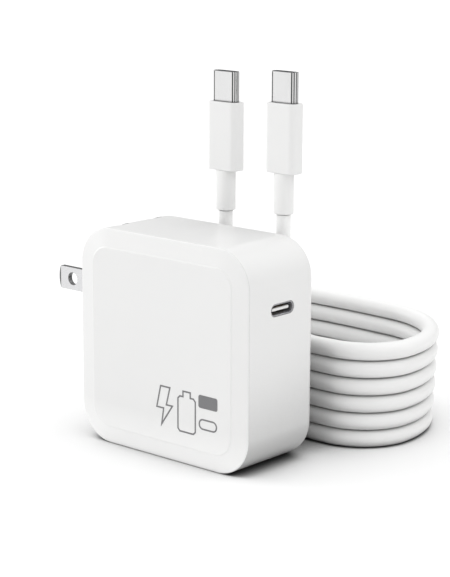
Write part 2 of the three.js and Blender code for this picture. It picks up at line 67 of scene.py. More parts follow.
# ---- Prongs ----
PIVOT_X, PIVOT_Z = -28.3, 40.5
POCKET_R = 8.2
BLADE_Y = 6.35
BLADE_T = 1.5
BLADE_W = 6.35
BLADE_Z = 42.0
BLADE_TIP_X = -45.9
BLADE_HOLE_X = -40.2
BLADE_HOLE_R = 1.8
ROTOR_HALF_Y = 9.2
CRADLE_HALF_Y = 11.2
SLOT_W = 4.4
SLOT_DEPTH_X = -22.5
SCOOP_X, SCOOP_Z = -20.6, 52.0
FRAME_LOW, FRAME_HIGH, FRAME_GAP = 32.6, 48.2, 0.3
MOUTH_LOW, MOUTH_HIGH = 33.6, 46.8
CHANNEL_HALF_Y, SCOOP_HALF_Y, SCOOP_WALL = 10, 9.1, 1.4
AXLE_R, AXLE_HALF_Y = 0.8, 10.5
BLADE_BOW_R = 6.05
BLADE_SLIT_LOW, BLADE_SLIT_HIGH = 40.88, 45.32
LEFT_OF_CASE, ABOVE_CASE = -31, 61  # where cuts through the outside start

# ---- Socket ----
PORT_Z = 43.4
PORT_W, PORT_H, PORT_R, PORT_WALL = 9.1, 3.2, 1.55, 0.3
PORT_FRONT, PORT_BACK = 29.8, 21.8
TONGUE_W, TONGUE_T = 6.7, 0.8
CONTACTS, CONTACT_PITCH, CONTACT_HALF_W = 12, 0.5, 0.13

# ---- Cable ----
CORD_D = 4.9
CORD_PITCH = 4.93
LEAD_THINNING, LEAD_FROM_Z = 0.8, 45
LEAST_STEP = 1.2  # route points closer than this would pinch the curve
COIL_TURNS = 6
COIL_X0, COIL_X1, COIL_Y0, COIL_Y1 = -47.5, 40.8, 26.5, 72.7
COIL_TAPER = 0.28
R_NEAR_RIGHT, R_FAR_RIGHT, R_LEFT = 14.8, 31.3, 23.0
TOP_Z = CORD_D / 2 + (COIL_TURNS - 1) * CORD_PITCH
PLUG_A = Vector((-4.6, 17.1, 62.95))
PLUG_B = Vector((15.9, 17.1, 64.3))
RELIEF, BOOT, SHELL = 11.0, 18.6, 8.3
BOOT_W, BOOT_T, BOOT_R, BOOT_EDGE = 9.8, 5.1, 1.5, 0.22
SHELL_W, SHELL_T, SHELL_WALL = 8.34, 2.56, 0.3
INSERT_GAP = 0.02

# ---- Tones ----
CASE_WHITE = (0.73, 0.73, 0.726)
# Pairs of (how far a surface faces along Y, tone), for banded, which paints tone by facing: a painted shade
# on the front-facing panel, and painted reflections on the plug shells and blades.
PANEL_PAINTED_SHADE = ((0, 1), (0.99, 1), (0.997, 0.985))
# Painted reflections on the plug shells: dark and light stripes by how far each face turns to Y.
PLUG_PAINTED_REFLECTIONS = (
    (0, 0.55),
    (0.15, 0.55),
    (0.19, 0.05),
    (0.35, 0.05),
    (0.4, 1),
    (0.55, 1),
    (0.6, 0.12),
    (0.76, 0.12),
    (0.8, 0.75),
    (0.92, 0.75),
    (0.94, 0.03),
    (0.993, 0.03),
    (0.998, 0.85),
)
# Painted reflections on the blades: edges and rounded corners dark, flat faces light.
BLADE_PAINTED_REFLECTIONS = ((0, 0.3), (0.3, 0.28), (0.9, 0.1), (0.96, 0.14), (0.985, 0.84))
# Pairs of (openness, tone), for creased, which paints shade where surfaces close in: in the blade channels,
# on the case near the floor and coil, a painted contact shadow on the floor round the object, and in the
# coil.
CHANNEL_SHADE = ((0.1, 0.02), (0.5, 0.12), (0.75, 0.45), (0.93, 1))
NEAR_FLOOR_SHADE = ((0.5, 0.62), (0.69, 0.78), (0.9, 1))
# Painted contact shadow on the floor round the object's foot.
CONTACT_SHADOW = ((0.1, 0.06), (0.36, 0.42), (0.5, 0.87), (0.62, 0.96), (0.8, 1))
# Painted shade in the coil: in its depths, and in the creases between its turns.
COIL_DEPTH_SHADE = ((0.26, 0.72), (0.48, 1))
COIL_CREASE_SHADE = ((0.05, 0.7), (0.42, 1))
SKY_LOW, SKY_HIGH = 0.73, 1.45
FLOOR_HALF = 4.0  # metres

# ---- Camera, fitted to the case, blade, socket and coil ----
CAMERA_PLACE = Vector((324.745, -358.184, 154.259))
CAMERA_YAW, CAMERA_LIFT, CAMERA_ROLL = 0.72061, 0.22385, 0.00403
CAMERA_LENS, CAMERA_SENSOR = 115.36, 36.0


# ---------------------------------------------------------------- camera


def make_camera():
    camera = bpy.data.objects.new("camera", bpy.data.cameras.new("camera"))
    bpy.context.collection.objects.link(camera)
    camera.location = CAMERA_PLACE * MM
    level = math.cos(CAMERA_LIFT)
    back = Vector((math.sin(CAMERA_YAW) * level, -math.cos(CAMERA_YAW) * level, math.sin(CAMERA_LIFT)))
    turn = (-back).to_track_quat("-Z", "Y").to_matrix() @ Matrix.Rotation(CAMERA_ROLL, 3, "Z")
    camera.rotation_euler = turn.to_euler()
    camera.data.sensor_width = CAMERA_SENSOR
    camera.data.lens = CAMERA_LENS
    camera.data.clip_start = 0.01
    camera.data.clip_end = 10.0
    bpy.context.scene.camera = camera


# ---------------------------------------------------------------- materials


def node_tree(name):
    material = bpy.data.materials.new(name)
    material.use_nodes = True
    nodes, links = material.node_tree.nodes, material.node_tree.links
    nodes.clear()
    out = nodes.new("ShaderNodeOutputMaterial")
    shader = nodes.new("ShaderNodeBsdfPrincipled")
    links.new(shader.outputs["BSDF"], out.inputs["Surface"])
    place = nodes.new("ShaderNodeTexCoord")
    return material, nodes, links, shader, place


def noise(nodes, links, place, scale, detail=3.0, stretch=None):
    """Noise in object space; scale is in grains per metre, stretch squeezes it along an axis."""
    texture = nodes.new("ShaderNodeTexNoise")
    texture.inputs["Scale"].default_value = scale
    texture.inputs["Detail"].default_value = detail
    source = place.outputs["Object"]
    if stretch:
        mapping = nodes.new("ShaderNodeMapping")
        mapping.inputs["Scale"].default_value = stretch
        links.new(source, mapping.inputs["Vector"])
        source = mapping.outputs["Vector"]
    links.new(source, texture.inputs["Vector"])
    return texture.outputs["Fac"]


def ranged(nodes, links, value, from_low, from_high, to_low, to_high):
    """Maps value from one range to another and holds it inside the second."""
    ramp = nodes.new("ShaderNodeMapRange")
    ramp.inputs["From Min"].default_value = from_low
    ramp.inputs["From Max"].default_value = from_high
    ramp.inputs["To Min"].default_value = to_low
    ramp.inputs["To Max"].default_value = to_high
    links.new(value, ramp.inputs["Value"])
    return ramp.outputs["Result"]


def spread(nodes, links, value, low, high):
    """Turns the middle of a noise's range into low to high."""
    return ranged(nodes, links, value, 0.3, 0.7, low, high)


def tint(nodes, links, value, dark, light):
    mix = nodes.new("ShaderNodeMix")
    mix.data_type = "RGBA"
    mix.inputs[6].default_value = (*dark, 1.0)
    mix.inputs[7].default_value = (*light, 1.0)
    links.new(value, mix.inputs["Factor"])
    return mix.outputs[2]


def bump(nodes, links, shader, value, strength, depth_mm):
    node = nodes.new("ShaderNodeBump")
    node.inputs["Strength"].default_value = strength
    node.inputs["Distance"].default_value = depth_mm * MM
    links.new(value, node.inputs["Height"])
    links.new(node.outputs["Normal"], shader.inputs["Normal"])


def painted_hollow_shade(nodes, links, colours, reach_mm, stops, own=False):
    """Painted shade: darkens colours where surfaces (own: only the piece's own) close in; stops are
    (openness, tone).
    """
    shade = nodes.new("ShaderNodeAmbientOcclusion")
    shade.samples = 12
    shade.only_local = own
    shade.inputs["Distance"].default_value = reach_mm * MM
    return multiplied(nodes, links, colours, tone_curve(nodes, links, shade.outputs["AO"], stops))


def tone_curve(nodes, links, value, stops):
    ramp = nodes.new("ShaderNodeValToRGB")
    elements = ramp.color_ramp.elements
    while len(elements) < len(stops):
        elements.new(0.5)
    for element, (position, tone) in zip(elements, stops):
        element.position = position
        element.color = (tone, tone, tone, 1.0)
    links.new(value, ramp.inputs["Fac"])
    return ramp.outputs["Color"]


def multiplied(nodes, links, colours, factor):
    mix = nodes.new("ShaderNodeMix")
    mix.data_type = "RGBA"
    mix.blend_type = "MULTIPLY"
    mix.inputs["Factor"].default_value = 1.0
    links.new(colours, mix.inputs[6])
    links.new(factor, mix.inputs[7])
    return mix.outputs[2]


def painted_facing_tone(nodes, links, place, colours, stops, upward=1.0):
    """Painted light, shade and reflections: a tone that depends on how far a surface turns from the Y axis;
    upward is the tone of level faces.
    """
    split = nodes.new("ShaderNodeSeparateXYZ")
    links.new(place.outputs["Normal"], split.inputs[0])
    across = magnitude(nodes, links, split.outputs["Y"])
    colours = multiplied(nodes, links, colours, tone_curve(nodes, links, across, stops))
    if upward == 1.0:
        return colours
    level = magnitude(nodes, links, split.outputs["Z"])
    return multiplied(nodes, links, colours, tone_curve(nodes, links, level, ((0.4, 1.0), (0.8, upward))))


def foot_painted_light(nodes, links, place, low, high):
    """Painted light: a tone that goes from low to high in the lowest centimetre of a piece, in place of light
    bounced up from the floor.
    """
    return ranged(nodes, links, axis_of(nodes, links, place, "Z"), 0.002, 0.012, low, high)


def axis_of(nodes, links, place, axis):
    """A point's coordinate in its own piece, in metres."""
    split = nodes.new("ShaderNodeSeparateXYZ")
    links.new(place.outputs["Object"], split.inputs[0])
    return split.outputs[axis]


def magnitude(nodes, links, value):
    size = nodes.new("ShaderNodeMath")
    size.operation = "ABSOLUTE"
    links.new(value, size.inputs[0])
    return size.outputs[0]


def scaled(colour, factor):
    return tuple(min(1.0, c * factor) for c in colour)


def moulded(name, colour, rough, grain_mm=0.35, grain=0.05, vary=0.012, specular=0.5, crease_shade=0.5, **tones):
    """Moulded plastic: a fine spark-eroded grain, slightly uneven gloss and tone, and painted shade in narrow
    creases.

    tones may hold stops (see banded: painted shade by facing), hollows and ground (see creased: painted shade
    in recesses and near the floor) and foot (see foot_painted_light: painted light at the foot).
    """
    material, nodes, links, shader, place = node_tree(name)
    broad = noise(nodes, links, place, 45, 2)
    colours = tint(nodes, links, broad, scaled(colour, 1 - vary), scaled(colour, 1 + vary))
    if "stops" in tones:
        colours = painted_facing_tone(nodes, links, place, colours, tones["stops"])
    if "hollows" in tones:
        colours = painted_hollow_shade(nodes, links, colours, 6, tones["hollows"], own=True)
    if "ground" in tones:
        colours = painted_hollow_shade(nodes, links, colours, 40, tones["ground"])
    if "foot" in tones:
        colours = multiplied(nodes, links, colours, foot_painted_light(nodes, links, place, *tones["foot"]))
    # Painted shade in narrow creases, within 2 mm of other surfaces.
    links.new(painted_hollow_shade(nodes, links, colours, 2, ((0.1, crease_shade), (0.6, 1))), shader.inputs["Base Color"])
    fine = noise(nodes, links, place, 1000 / grain_mm, 4)
    gloss = spread(nodes, links, broad, rough * 0.93, rough * 1.07)
    links.new(gloss, shader.inputs["Roughness"])
    bump(nodes, links, shader, fine, grain, 0.02)
    shader.inputs["Specular IOR Level"].default_value = specular
    return material


def plated(name, colour, rough, brush=(1, 1, 1), scratch=0.08, stops=None, upward=1.0, crease_shade=None):
    """Plated or rolled metal with fine lines along the axis that brush leaves long; stops and upward give
    painted reflections by facing, crease gives painted shade in recesses.
    """
    material, nodes, links, shader, place = node_tree(name)
    lines = noise(nodes, links, place, 2600, 4, brush)
    cloudy = noise(nodes, links, place, 160, 2)
    colours = tint(nodes, links, cloudy, scaled(colour, 0.95), scaled(colour, 1.04))
    if stops:
        colours = painted_facing_tone(nodes, links, place, colours, stops, upward)
    if crease_shade:
        colours = painted_hollow_shade(nodes, links, colours, 0.8, crease_shade)
    links.new(colours, shader.inputs["Base Color"])
    links.new(spread(nodes, links, lines, rough * 0.75, rough * 1.3), shader.inputs["Roughness"])
    bump(nodes, links, shader, lines, scratch, 0.01)
    shader.inputs["Metallic"].default_value = 1.0
    return material


def jacket(name, colour, rough):
    """Soft cable jacket: matt extruded skin with faint mottling and sheen; painted shade in the coil's depths
    and between its turns, and painted light above the coil, where that shade fades out and the tone is
    lifted.
    """
    material, nodes, links, shader, place = node_tree(name)
    broad = noise(nodes, links, place, 220, 3)
    colours = tint(nodes, links, broad, scaled(colour, 0.985), scaled(colour, 1.012))
    # Painted shade in the coil's depths and between its turns.
    coil_shade = painted_hollow_shade(nodes, links, colours, 40, COIL_DEPTH_SHADE)
    coil_shade = painted_hollow_shade(nodes, links, coil_shade, 3, COIL_CREASE_SHADE)
    # Painted light: above 35 to 45 mm the painted shade fades out and the jacket is lifted about a tenth
    # brighter.
    lead_light = nodes.new("ShaderNodeMix")
    lead_light.data_type = "RGBA"
    height = axis_of(nodes, links, place, "Z")
    links.new(ranged(nodes, links, height, 0.035, 0.045, 0, 1), lead_light.inputs["Factor"])
    links.new(coil_shade, lead_light.inputs[6])
    links.new(tint(nodes, links, broad, scaled(colour, 1.09), scaled(colour, 1.11)), lead_light.inputs[7])
    links.new(lead_light.outputs[2], shader.inputs["Base Color"])
    fine = noise(nodes, links, place, 5200, 3)
    links.new(spread(nodes, links, broad, rough * 0.92, rough * 1.08), shader.inputs["Roughness"])
    bump(nodes, links, shader, fine, 0.12, 0.015)
    shader.inputs["Sheen Weight"].default_value = 0.08
    shader.inputs["Specular IOR Level"].default_value = 0.4
    return material


def laminate(name, colour):
    """Board laminate with the weave of its glass cloth showing through the solder mask."""
    material, nodes, links, shader, place = node_tree(name)
    waves = []
    for axis in ("X", "Z"):
        wave = nodes.new("ShaderNodeTexWave")
        wave.bands_direction = axis
        wave.inputs["Scale"].default_value = 420
        wave.inputs["Distortion"].default_value = 0.6
        links.new(place.outputs["Object"], wave.inputs["Vector"])
        waves.append(wave.outputs["Fac"])
    weave = nodes.new("ShaderNodeMath")
    weave.operation = "MULTIPLY"
    links.new(waves[0], weave.inputs[0])
    links.new(waves[1], weave.inputs[1])
    colours = tint(nodes, links, weave.outputs[0], scaled(colour, 0.8), scaled(colour, 1.25))
    links.new(colours, shader.inputs["Base Color"])
    shader.inputs["Roughness"].default_value = 0.35
    bump(nodes, links, shader, weave.outputs[0], 0.1, 0.02)
    return material


def make_materials():
    made = {
        # Painted shade: the front-facing panel is painted a little darker than its sloped border.
        "cover_plastic": moulded(
            # Painted light: the cover's foot is lifted brighter, in place of light bounced up from the floor.
            "cover_plastic", CASE_WHITE, 0.3, specular=0.35, stops=PANEL_PAINTED_SHADE, foot=(1.18, 1.02)
        ),
        # Painted shade in the case's own recesses, and where the floor and coil come near.
        "case_plastic": moulded("case_plastic", CASE_WHITE, 0.3, hollows=CHANNEL_SHADE, ground=NEAR_FLOOR_SHADE),
        "cradle_plastic": moulded("cradle_plastic", (0.68, 0.68, 0.677), 0.4),
        "rotor_plastic": moulded("rotor_plastic", (0.7, 0.7, 0.697), 0.33),
        # Painted reflections on the blades by facing, darker again on their level faces.
        "blade_nickel": plated(
            "blade_nickel", (0.8, 0.8, 0.81), 0.22, (0.08, 1, 1), stops=BLADE_PAINTED_REFLECTIONS, upward=0.45
        ),
        "spring_steel": plated("spring_steel", (0.55, 0.56, 0.58), 0.3, (1, 1, 0.1)),
        "bronze": plated("bronze", (0.62, 0.4, 0.2), 0.3, (1, 1, 0.1)),
        "wire_black": jacket("wire_black", (0.03, 0.03, 0.032), 0.5),
        "wire_white": jacket("wire_white", (0.8, 0.79, 0.76), 0.5),
        "socket_steel": plated("socket_steel", (0.5, 0.5, 0.52), 0.5, (0.1, 1, 1)),
        "black_plastic": moulded("black_plastic", (0.022, 0.022, 0.024), 0.5, vary=0.1, specular=0.2),
        "board_laminate": laminate("board_laminate", (0.03, 0.16, 0.08)),
        "insulation_paper": moulded("insulation_paper", (0.78, 0.72, 0.56), 0.8, 0.6, 0.3, 0.05),
        "aluminium": plated("aluminium", (0.7, 0.71, 0.73), 0.32, (1, 0.1, 1)),
        "copper": plated("copper", (0.68, 0.34, 0.18), 0.3, (0.2, 1, 1)),
        "pad_silicone": moulded("pad_silicone", (0.42, 0.5, 0.62), 0.7, 0.4, 0.3, 0.06),
        "green_ceramic": moulded("green_ceramic", (0.03, 0.11, 0.05), 0.4, 0.6, 0.2, 0.1),
        "yellow_plastic": moulded("yellow_plastic", (0.72, 0.47, 0.05), 0.35, vary=0.04),
        "ferrite": moulded("ferrite", (0.045, 0.045, 0.05), 0.6, 0.25, 0.3, 0.15),
        "amber_tape": moulded("amber_tape", (0.66, 0.36, 0.05), 0.25, 0.8, 0.1, 0.06),
        "blue_ceramic": moulded("blue_ceramic", (0.03, 0.13, 0.46), 0.35, 0.6, 0.15, 0.08),
        "cable_jacket": jacket("cable_jacket", (0.79, 0.79, 0.785), 0.42),
        "relief_rubber": jacket("relief_rubber", (0.715, 0.715, 0.71), 0.5),
        "boot_plastic": moulded("boot_plastic", (0.75, 0.75, 0.746), 0.36, specular=0.3),
        # Painted reflections on the shell by facing, dark on its level rim, and painted shade where it meets
        # the boot.
        "plug_steel": plated(
            "plug_steel",
            (0.84, 0.84, 0.84),
            0.2,
            (1, 1, 0.1),
            stops=PLUG_PAINTED_REFLECTIONS,
            upward=0.12,
            crease_shade=((0.5, 0.04), (0.9, 1)),
        ),
        "tongue_plastic": moulded("tongue_plastic", (0.76, 0.76, 0.75), 0.35),
        "print_grey": moulded("print_grey", (0.16, 0.16, 0.165), 0.5, 0.2, 0.2, 0.08),
    }
    for entry in frame["record"]["subparts"]:
        mesh = frame["nodes"][entry["node"]].data
        mesh.materials.clear()
        mesh.materials.append(made[entry["material_slot"]])
    return made


# ---------------------------------------------------------------- mesh helpers


def add_piece(name, verts, faces, body, slot, nodes=(), angle=35):
    """A mesh from points in mm, finished as finish_piece says."""
    mesh = bpy.data.meshes.new(name)
    mesh.from_pydata([Vector(v) * MM for v in verts], [], faces)
    mesh.update()
    return finish_piece(bpy.data.objects.new(name, mesh), body, slot, nodes, angle)


def finish_piece(piece, body, slot, nodes=(), angle=35):
    """The piece rides on body, takes slot's material and replaces the CAD nodes."""
    if piece.name not in bpy.context.collection.objects:
        bpy.context.collection.objects.link(piece)
    piece.data.materials.clear()
    piece.data.materials.append(MATERIALS[slot])
    soften(piece, angle)
    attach(piece, body)
    if nodes:
        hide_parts(*nodes)
    return piece


def soften(piece, angle):
    """Smooth shading, with edges sharper than the angle left crisp."""
    piece.data.polygons.foreach_set("use_smooth", [True] * len(piece.data.polygons))
    piece.data.set_sharp_from_angle(angle=math.radians(angle))


def weigh_normals(piece):
    modifier = piece.modifiers.new("flat faces stay flat", "WEIGHTED_NORMAL")
    modifier.keep_sharp = True
    modifier.weight = 80


def case_normals(piece, profile):
    """Exact shading normals on the outside of the case, so that no cut in it shows on the curves.

    profile holds (y, inset, lean) from front to back; lean is the normal's angle from straight
    outwards (0) to the front (-90 degrees) or the rear (90).
    """
    mesh = piece.data
    normals = [Vector((0, 0, 0))] * len(mesh.loops)
    for polygon in mesh.polygons:
        middle = polygon.center.y / MM
        for loop in polygon.loop_indices:
            place = mesh.vertices[mesh.loops[loop].vertex_index].co / MM
            normal = outer_normal(place, middle, profile)
            if normal and normal.dot(polygon.normal) > 0.85:
                normals[loop] = normal
            elif abs(polygon.normal.y) > 0.9999:
                normals[loop] = polygon.normal.copy()
    mesh.normals_split_custom_set(normals)


def outer_normal(place, middle, profile):
    """The case's outward normal at place, on a face centred at Y = middle, or None off the outside."""
    core = CASE / 2 - CASE_R
    across, up = place.x, place.z - MID_Z
    out = Vector((across - max(-core, min(core, across)), up - max(-core, min(core, up))))
    for (y0, inset0, lean0), (y1, inset1, lean1) in zip(profile, profile[1:]):
        if y0 <= middle <= y1 and y1 > y0:
            part = max(0, min(1, (place.y - y0) / (y1 - y0)))
            if abs(CASE_R - out.length - inset0 - part * (inset1 - inset0)) > 0.12:
                return None
            lean = math.radians(lean0 + part * (lean1 - lean0))
            out.normalize()
            return Vector((out.x * math.cos(lean), math.sin(lean), out.y * math.cos(lean)))
    return None


def round_edges(piece, width_mm, segments=3, angle=40):
    modifier = piece.modifiers.new("rounded edges", "BEVEL")
    modifier.width = width_mm * MM
    modifier.segments = segments
    modifier.limit_method = "ANGLE"
    modifier.angle_limit = math.radians(angle)
    modifier.use_clamp_overlap = True
    modifier.miter_outer = "MITER_ARC"
    return modifier


def bake(piece):
    """Turns the piece's modifiers into plain mesh."""
    graph = bpy.context.evaluated_depsgraph_get()
    mesh = bpy.data.meshes.new_from_object(piece.evaluated_get(graph))
    piece.modifiers.clear()
    piece.data = mesh


def skin(rings, closed=True):
    """Faces over a stack of equal outlines, with both ends capped."""
    count = len(rings[0])
    verts = [p for ring in rings for p in ring]
    faces = []
    for k in range(len(rings) - 1):
        for i in range(count):
            j = (i + 1) % count
            a, b = k * count, (k + 1) * count
            faces.append((a + i, a + j, b + j, b + i))
    if closed:
        last = (len(rings) - 1) * count
        faces.append(tuple(reversed(range(count))))
        faces.append(tuple(last + i for i in range(count)))
    return verts, faces


def tube(rings):
    """Faces of a ring-shaped solid: outlines up its outside and back down its inside."""
    verts, faces = skin(rings, closed=False)
    count = len(rings[0])
    last = (len(rings) - 1) * count
    faces += [(last + i, last + (i + 1) % count, (i + 1) % count, i) for i in range(count)]
    return verts, faces


def flipped(faces):
    return [tuple(reversed(face)) for face in faces]


def arc(cx, cy, r, quarter, steps):
    """A quarter turn about (cx, cy), starting quarter times 90 degrees round from the first axis."""
    angles = [(quarter + i / steps) * math.pi / 2 for i in range(steps + 1)]
    return [(cx + r * math.cos(angle), cy + r * math.sin(angle)) for angle in angles]


def rounded_rect(w, h, r, steps):
    points = []
    corners = ((w / 2 - r, h / 2 - r), (r - w / 2, h / 2 - r), (r - w / 2, r - h / 2), (w / 2 - r, r - h / 2))
    for quarter, (cx, cy) in enumerate(corners):
        points += arc(cx, cy, r, quarter, steps)
    return points


def case_rings(stations, steps=CORNER_STEPS):
    """Case-shaped outlines; stations are (y, inset from the case outline), front to back."""
    rings = []
    for y, inset in stations:
        size, radius = CASE - 2 * inset, max(CASE_R - inset, 1.5)
        rings.append([(-u, y, v + MID_Z) for u, v in rounded_rect(size, size, radius, steps)])
    return rings


def side_rings(stations, steps=6):
    """Outlines across X, wide in Y, for the socket; stations are (x, width, height, radius)."""
    return [[(x, u, PORT_Z + v) for u, v in rounded_rect(w, h, r, steps)] for x, w, h, r in stations]


def upright_rings(foot, stations, steps=6):
    """Rounded plans stacked upwards from foot; stations are (height, width, thickness, radius)."""
    rings = []
    for z, w, t, r in stations:
        rings.append([(foot.x + u, foot.y + v, foot.z + z) for u, v in rounded_rect(w, t, r, steps)])
    return rings


def block(x0, x1, y0, y1, z0, z1):
    verts = [(x, y, z) for z in (z0, z1) for x, y in ((x0, y0), (x1, y0), (x1, y1), (x0, y1))]
    faces = [(3, 2, 1, 0), (4, 5, 6, 7), (0, 1, 5, 4), (1, 2, 6, 5), (2, 3, 7, 6), (3, 0, 4, 7)]
    return verts, faces


def prism_xz(outline, y0, y1):
    """Solid between two Y planes from an outline of (x, z) points running anticlockwise."""
    return skin([[(x, y1, z) for x, z in outline], [(x, y0, z) for x, z in outline]])


def circle(cx, cy, r, sides):
    angles = [2 * math.pi * i / sides for i in range(sides)]
    return [(cx + r * math.cos(angle), cy + r * math.sin(angle)) for angle in angles]


def solid(verts, faces):
    """A throwaway object for a boolean."""
    mesh = bpy.data.meshes.new("tool")
    mesh.from_pydata([Vector(v) * MM for v in verts], [], faces)
    mesh.update()
    tool = bpy.data.objects.new("tool", mesh)
    bpy.context.collection.objects.link(tool)
    return tool


def named(piece, name):
    piece.name = piece.data.name = name
    return piece


def combine(piece, operation, *tools):
    for tool in tools:
        modifier = piece.modifiers.new("combine", "BOOLEAN")
        modifier.operation = operation
        modifier.solver = "EXACT"
        modifier.object = tool
        bake(piece)
    for tool in tools:
        mesh = tool.data
        bpy.data.objects.remove(tool)
        bpy.data.meshes.remove(mesh)
    return piece


# ---------------------------------------------------------------- cable


def coil_turn(steps, right):
    """One turn's plan, starting at the left end of the near run and running towards +X."""
    corners = [
        (right - R_NEAR_RIGHT, COIL_Y0 + R_NEAR_RIGHT, R_NEAR_RIGHT, 3),
        (right - R_FAR_RIGHT, COIL_Y1 - R_FAR_RIGHT, R_FAR_RIGHT, 0),
        (COIL_X0 + R_LEFT, COIL_Y1 - R_LEFT, R_LEFT, 1),
        (COIL_X0 + R_LEFT, COIL_Y0 + R_LEFT, R_LEFT, 2),
    ]
    points = []
    for cx, cy, r, quarter in corners:
        points += arc(cx, cy, r, quarter, steps)
    return points


def cord_route():
    """Centre line of the whole cord in mm: lead A, six turns from the top down, lead B."""
    route = [
        (PLUG_A.x, PLUG_A.y, PLUG_A.z - 0.3),
        (PLUG_A.x, PLUG_A.y, 54),
        (-4.2, 17.7, 47.5),
        (-2.8, 19.6, 41),
        (0.2, 22.6, 35.6),
        (4.4, 25.0, TOP_Z + 4.9),
        (10, 26.2, TOP_Z + 1.8),
        (16, COIL_Y0, TOP_Z + 0.2),
    ]
    for turn in range(COIL_TURNS):
        level = TOP_Z - turn * CORD_PITCH
        if turn:
            drop = [(-16, 0.1), (-6, 0.36), (4, 0.68), (14, 0.94)]
            route += [(x, COIL_Y0, level + CORD_PITCH * (1 - part)) for x, part in drop]
        plan = coil_turn(6, COIL_X1 - COIL_TAPER * turn)
        if turn == COIL_TURNS - 1:
            plan = plan[:-5]  # the last turn leaves the coil at the left, for lead B
        route += [(x, y, level) for x, y in plan]
    floor = CORD_D / 2 + 0.05  # height of a cord that lies on the floor
    route += [
        (-42.8, 34.6, floor),
        (-38, 28.8, floor),
        (-30.5, 23.8, floor),
        (-22.8, 21.6, floor),
        (-14.8, 21.45, floor),
        (PLUG_B.x - 22, PLUG_B.y + 4, floor + 0.1),
        (PLUG_B.x - 12, PLUG_B.y + 2.6, 5.2),
        (PLUG_B.x - 4.4, PLUG_B.y + 1.1, 13),
        (PLUG_B.x - 0.6, PLUG_B.y + 0.2, 24),
        (PLUG_B.x, PLUG_B.y, 36),
        (PLUG_B.x, PLUG_B.y, 52),
        (PLUG_B.x, PLUG_B.y, PLUG_B.z - 0.3),
    ]
    spaced = route[:1]
    for point in route[1:]:
        if math.dist(point, spaced[-1]) > LEAST_STEP:
            spaced.append(point)
    return spaced


def make_cord():
    curve = bpy.data.curves.new("cable", "CURVE")
    curve.dimensions = "3D"
    curve.bevel_depth = CORD_D / 2 * MM
    curve.bevel_resolution = 7
    curve.resolution_u = 5
    curve.use_fill_caps = True
    route = cord_route()
    spline = curve.splines.new("BEZIER")
    spline.bezier_points.add(len(route) - 1)
    for point, place in zip(spline.bezier_points, route):
        point.radius = LEAD_THINNING if place[2] > LEAD_FROM_Z else 1.0
        point.co = Vector(place) * MM
        point.handle_left_type = "AUTO"
        point.handle_right_type = "AUTO"
    cord = bpy.data.objects.new("cable", curve)
    bpy.context.collection.objects.link(cord)
    curve.materials.append(MATERIALS["cable_jacket"])
    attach(cord, "case")
    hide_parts("cable_coil", "cable_lead_a", "cable_lead_b")
    return cord


def make_plug(tag, foot):
    """One USB-C plug standing on the end of the cord; returns its pieces."""
    base = foot + Vector((0, 0, RELIEF))
    mouth = base + Vector((0, 0, BOOT))
    return [make_relief(tag, foot), make_boot(tag, base), make_shell(tag, mouth), make_insert(tag, mouth)]


def make_relief(tag, foot):
    stations = [
        (0, 5.1, 4.8, 2.2),
        (0.12, 5.3, 5.0, 2.3),
        (RELIEF * 0.4, 5.25, 4.95, 2.3),
        (RELIEF - 0.02, 5.4, 5.0, 2.3),
    ]
    verts, faces = skin(upright_rings(foot, stations))
    return add_piece(f"relief_{tag}", verts, faces, "case", "relief_rubber", [f"plug_{tag}_relief"])


def make_boot(tag, base):
    stations = []
    for i in range(5):
        angle = i / 4 * math.pi / 2
        height = BOOT_EDGE * (1 - math.cos(angle))
        cut = BOOT_EDGE * (1 - math.sin(angle))
        stations.append((height, BOOT_W - 2 * cut, BOOT_T - 2 * cut, BOOT_R - cut * 0.6))
    stations += [(BOOT - z, w, t, r) for z, w, t, r in reversed(stations)]
    verts, faces = skin(upright_rings(base, stations, 8))
    boot = add_piece(f"boot_{tag}", verts, faces, "case", "boot_plastic", [f"plug_{tag}_boot"])
    weigh_normals(boot)
    return boot


def make_shell(tag, mouth):
    w, t = SHELL_W - 2 * SHELL_WALL, SHELL_T - 2 * SHELL_WALL
    stations = [
        (0.02, SHELL_W, SHELL_T, 1.2),
        (SHELL - 0.12, SHELL_W, SHELL_T, 1.2),
        (SHELL, SHELL_W - 0.16, SHELL_T - 0.16, 1.12),
        (SHELL, w + 0.12, t + 0.12, 0.96),
        (SHELL - 0.1, w, t, 0.9),
        (0.02, w, t, 0.9),
    ]
    verts, faces = tube(upright_rings(mouth, stations, 8))
    shell = add_piece(f"shell_{tag}", verts, faces, "case", "plug_steel", [f"plug_{tag}_shell"])
    weigh_normals(shell)
    return shell


def make_insert(tag, mouth):
    """Black insert inside the shell, with the slot that takes a socket's tongue."""
    w, t = SHELL_W - 2 * (SHELL_WALL + INSERT_GAP), SHELL_T - 2 * (SHELL_WALL + INSERT_GAP)
    stations = [(0.02, w, t, 0.88), (SHELL - 0.15, w, t, 0.88), (SHELL - 0.06, w - 0.16, t - 0.16, 0.8)]
    insert = solid(*skin(upright_rings(mouth, stations)))
    x, y, top = mouth.x, mouth.y, mouth.z + SHELL
    combine(insert, "DIFFERENCE", solid(*block(x - 3.4, x + 3.4, y - 0.5, y + 0.5, top - 6, top + 1)))
    return finish_piece(named(insert, f"insert_{tag}"), "case", "black_plastic", [f"plug_{tag}_insert"])


# ---------------------------------------------------------------- case


def panel_profile():
    """Profile, as case_normals takes it, of the raised panel's rounded edge."""
    top_in = BORDER + PANEL_R * math.sin(math.radians(PANEL_TURN))
    profile = []
    for i in range(7):
        turn = PANEL_TURN * i / 6
        y = FRONT_Y + PANEL_R * (1 - math.cos(math.radians(turn)))
        profile.append((y, top_in - PANEL_R * math.sin(math.radians(turn)), turn - 90))
    return profile


